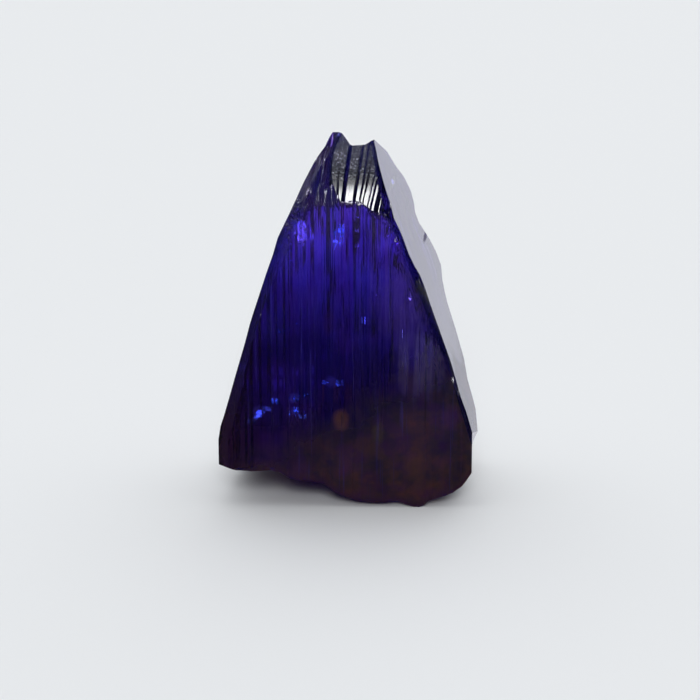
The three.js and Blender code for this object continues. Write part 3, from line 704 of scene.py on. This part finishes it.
# Strokes of mirrors: [x, z, to x, to z, spread, number, width, height, share of violet]. The
# first holds one mirror, which lies under the cleavage face and gets its place below.
STROKES = np.array([
    [0, 0, 0, 0, 0, 1, 0.7, 0.4, 1.0],
    [-3.6, 22.3, -3.6, 21.1, 0.12, 40, 0.1, 0.3, 1.0],
    [-3.65, 22.3, -3.05, 21.2, 0.45, 130, 0.06, 0.3, 0.9],
    [-0.5, 22.2, -0.5, 21.4, 0.26, 40, 0.05, 0.12, 0.1],
    [-0.6, 21.2, -0.5, 20.7, 0.38, 24, 0.05, 0.24, 0.5],
    [0.83, 23.0, 0.83, 22.9, 0.02, 3, 0.03, 0.1, 1.0],
    [3.0, 22.2, 4.2, 20.3, 0.25, 26, 0.06, 0.08, 1.0],
    [0.83, 22.1, 0.83, 21.9, 0.02, 4, 0.03, 0.1, 1.0],
    [0.83, 20.9, 0.83, 20.6, 0.02, 4, 0.03, 0.1, 1.0],
    [-4.3, 22.0, -4.6, 19.6, 0.3, 22, 0.06, 0.07, 0.8],
    [-7.25, 6.85, -6.1, 7.9, 0.17, 110, 0.13, 0.14, 0.3],
    [-5.4, 8.35, -5.35, 8.4, 0.2, 40, 0.12, 0.13, 0.1],
    [-4.6, 8.7, -4.55, 8.7, 0.08, 8, 0.1, 0.11, 0.0],
    [-4.6, 7.4, -4.55, 7.45, 0.1, 10, 0.1, 0.11, 0.0],
    [-4.1, 8.4, -3.5, 9.0, 0.1, 36, 0.12, 0.13, 0.0],
    [-4.05, 7.9, -3.5, 7.1, 0.14, 44, 0.12, 0.15, 0.1],
    [-3.05, 9.0, -3.0, 9.0, 0.06, 8, 0.09, 0.09, 0.0],
    [-1.7, 9.85, -1.6, 9.9, 0.12, 12, 0.1, 0.11, 0.2],
    [-0.6, 9.85, -0.5, 9.9, 0.2, 44, 0.12, 0.14, 0.3],
    [-5.2, 14.0, -3.7, 14.5, 0.15, 14, 0.12, 0.08, 0.2],
    [2.3, 16.9, 2.32, 16.8, 0.05, 2, 0.07, 0.08, 1.0],
    [4.4, 17.2, 4.9, 16.5, 0.16, 7, 0.07, 0.08, 1.0],
    [1.16, 14.9, 1.16, 14.9, 0.0, 1, 0.3, 0.6, 0.6],
    [2.6, 13.95, 2.6, 13.95, 0.0, 1, 0.1, 0.14, 0.8],
    [4.25, 13.8, 4.25, 13.8, 0.0, 1, 0.05, 0.6, 0.7]])
# The one under the cleavage face: its middle, and the ways it faces and stretches.
SIDE_FLASH = np.array([3.35, -1.4, 24.86])
SIDE_FLASH_FACING = np.array([0.711, -0.259, 0.655])
SIDE_FLASH_ACROSS = np.array([0.342, 0.94, 0.0])

stroke = STROKES[np.repeat(np.arange(len(STROKES)), STROKES[:, 5].astype(int))]
mirror_number = np.arange(len(stroke))
along = chance(mirror_number, 61)
aside, upwards, turned, tilted = [2 * chance(mirror_number, k) - 1 for k in (62, 64, 65, 66)]
centre = np.stack([
    mix(stroke[:, 0], stroke[:, 2], along) + stroke[:, 4] * aside,
    CRACK_DEPTH + CRACK_LAYER * (chance(mirror_number, 63) - 0.5),
    mix(stroke[:, 1], stroke[:, 3], along) + stroke[:, 4] * upwards], -1)
turn = TURN_SPREAD * turned
tilt = CRACK_TILT + TILT_SPREAD * tilted
across = np.stack([np.cos(turn), np.sin(turn), 0 * turn], -1)
facing = np.stack([np.sin(turn) * np.cos(tilt), -np.cos(turn) * np.cos(tilt), np.sin(tilt)], -1)
centre[0], facing[0], across[0] = SIDE_FLASH, SIDE_FLASH_FACING, SIDE_FLASH_ACROSS
upward = np.cross(facing, across)
size = MIRROR_SIZE[0] + MIRROR_SIZE[1] * chance(mirror_number, 67)
halves = [across * (stroke[:, 6] * size / 2)[:, None], upward * (stroke[:, 7] * size / 2)[:, None],
          facing * CRACK_THICKNESS / 2]
signs = np.array([[i, j, k] for k in (-1, 1) for j in (-1, 1) for i in (-1, 1)])
corners = [signs[None, :, way, None] * halves[way][:, None] for way in (0, 1, 2)]
mirror_points = centre[:, None] + sum(corners)
sides = np.array([[0, 1, 3, 2], [4, 6, 7, 5], [0, 4, 5, 1],
                  [2, 3, 7, 6], [0, 2, 6, 4], [1, 5, 7, 3]])
mirror_faces = (mirror_number[:, None, None] * 8 + sides).reshape(-1, 4)

crack_mesh = bpy.data.meshes.new("inner_cracks")
crack_mesh.from_pydata(mirror_points.reshape(-1, 3) * MM, [], mirror_faces)
crack_mesh.update()
violet = np.repeat(stroke[:, 8], 8).astype(np.float32)
crack_mesh.attributes.new("violet", "FLOAT", "POINT").data.foreach_set("value", violet)
cracks = bpy.data.objects.new("inner_cracks", crack_mesh)
bpy.context.scene.collection.objects.link(cracks)

flash = bpy.data.materials.new("healed_crack")
flash.use_nodes = True
crack_nodes, crack_links = flash.node_tree.nodes, flash.node_tree.links
mirror = crack_nodes["Principled BSDF"]
mirror.inputs["Metallic"].default_value = 1.0
mirror.inputs["Roughness"].default_value = 0.26
how_violet = crack_nodes.new("ShaderNodeAttribute")
how_violet.attribute_name = "violet"
hue = crack_nodes.new("ShaderNodeMix")
hue.data_type = "RGBA"
hue.inputs["A"].default_value = (0.1, 0.5, 1.0, 1)
hue.inputs["B"].default_value = (0.42, 0.45, 1.0, 1)
crack_links.new(how_violet.outputs["Fac"], hue.inputs["Factor"])
crack_links.new(hue.outputs["Result"], mirror.inputs["Base Color"])
crack_mesh.materials.append(flash)

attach(cracks, "root")

# ---- floor, light and camera ---------------------------------------------------------------
# A wide pale floor and a pale room that is darkest low down. Soft lamps high in front are
# mirrored by the recessed top alone, and low screens behind by the cleavage face alone.

FLOOR_SIZE = 6.0
bpy.ops.mesh.primitive_plane_add(size=FLOOR_SIZE, location=(0, 0, 0))
floor = bpy.context.object
floor.name = "floor"
floor.visible_glossy = False
paper = bpy.data.materials.new("pale_paper")
paper.use_nodes = True
paper.node_tree.nodes["Principled BSDF"].inputs["Base Color"].default_value = (0.8, 0.81, 0.82, 1)
paper.node_tree.nodes["Principled BSDF"].inputs["Roughness"].default_value = 0.9
floor.data.materials.append(paper)

world = bpy.data.worlds.new("pale_room")
bpy.context.scene.world = world
world.use_nodes = True
room, room_links = world.node_tree.nodes, world.node_tree.links
room.remove(room["Background"])
where = room.new("ShaderNodeTexCoord")


def glow(aim, edge, middle, strength):
    """Adds a soft round brightening of the room around a direction, between two cosines."""
    toward = room.new("ShaderNodeVectorMath")
    toward.operation = "DOT_PRODUCT"
    toward.inputs[1].default_value = aim
    room_links.new(where.outputs["Generated"], toward.inputs[0])
    soft = room.new("ShaderNodeMapRange")
    soft.interpolation_type = "SMOOTHSTEP"
    soft.inputs["From Min"].default_value = edge
    soft.inputs["From Max"].default_value = middle
    soft.inputs["To Max"].default_value = strength
    room_links.new(toward.outputs["Value"], soft.inputs["Value"])
    return soft.outputs["Result"]


def direction(across, height):
    """The direction at an angle to the right of straight back, and at a height, in degrees."""
    turn, lift = math.radians(across), math.radians(height)
    return (math.sin(turn) * math.cos(lift), math.cos(turn) * math.cos(lift), math.sin(lift))


def screen(light, colour):
    """Shows a brightening of the room in a colour."""
    shade = room.new("ShaderNodeBackground")
    shade.inputs["Color"].default_value = (*colour, 1)
    room_links.new(light, shade.inputs["Strength"])
    return shade.outputs["Background"]


def cosine(degrees):
    """The cosine of an angle in degrees."""
    return math.cos(math.radians(degrees))


screens = [
    # The sky, brightest high behind the crystal.
    screen(glow(direction(0, 60), 0.1, 1.0, 1.37), (0.97, 0.985, 1.0)),
    # Two lamps in front, a small bright one and a wider one above it.
    screen(glow(direction(180, 32), cosine(12), cosine(1), 14.0), (0.98, 0.99, 1.0)),
    screen(glow(direction(180, 38), cosine(15), cosine(1), 3.4), (0.98, 0.99, 1.0)),
    # What the cleavage face mirrors, a little brighter for its lower part.
    screen(glow(direction(23, -11), 0.78, 0.94, 0.94), (0.92, 0.935, 1.08)),
    screen(glow(direction(26, -24), 0.95, 1.0, 0.7), (0.97, 0.96, 1.0)),
    # A faint one for the worn left edge.
    screen(glow(direction(-80, -15), cosine(60), cosine(25), 0.04), (0.9, 0.95, 1.05)),
]
light = screens[0]
for more in screens[1:]:
    both = room.new("ShaderNodeAddShader")
    room_links.new(light, both.inputs[0])
    room_links.new(more, both.inputs[1])
    light = both.outputs["Shader"]
room_links.new(light, room["World Output"].inputs["Surface"])

VIEW_HEIGHT = math.radians(18)
VIEW_DISTANCE = 0.205
LOOK_AT = (0.000234, 0, 0.011)
camera_data = bpy.data.cameras.new("camera")
camera_data.lens = 135
camera_data.sensor_width = 36
camera_data.clip_start = 0.01
camera = bpy.data.objects.new("camera", camera_data)
camera.location = (LOOK_AT[0], LOOK_AT[1] - VIEW_DISTANCE * math.cos(VIEW_HEIGHT),
                   LOOK_AT[2] + VIEW_DISTANCE * math.sin(VIEW_HEIGHT))
camera.rotation_euler = (math.pi / 2 - VIEW_HEIGHT, 0, 0)
bpy.context.scene.collection.objects.link(camera)
bpy.context.scene.camera = camera

bpy.context.scene.view_settings.view_transform = "Standard"
bpy.context.scene.cycles.max_bounces = 24
bpy.context.scene.cycles.transmission_bounces = 24
bpy.context.scene.cycles.glossy_bounces = 8
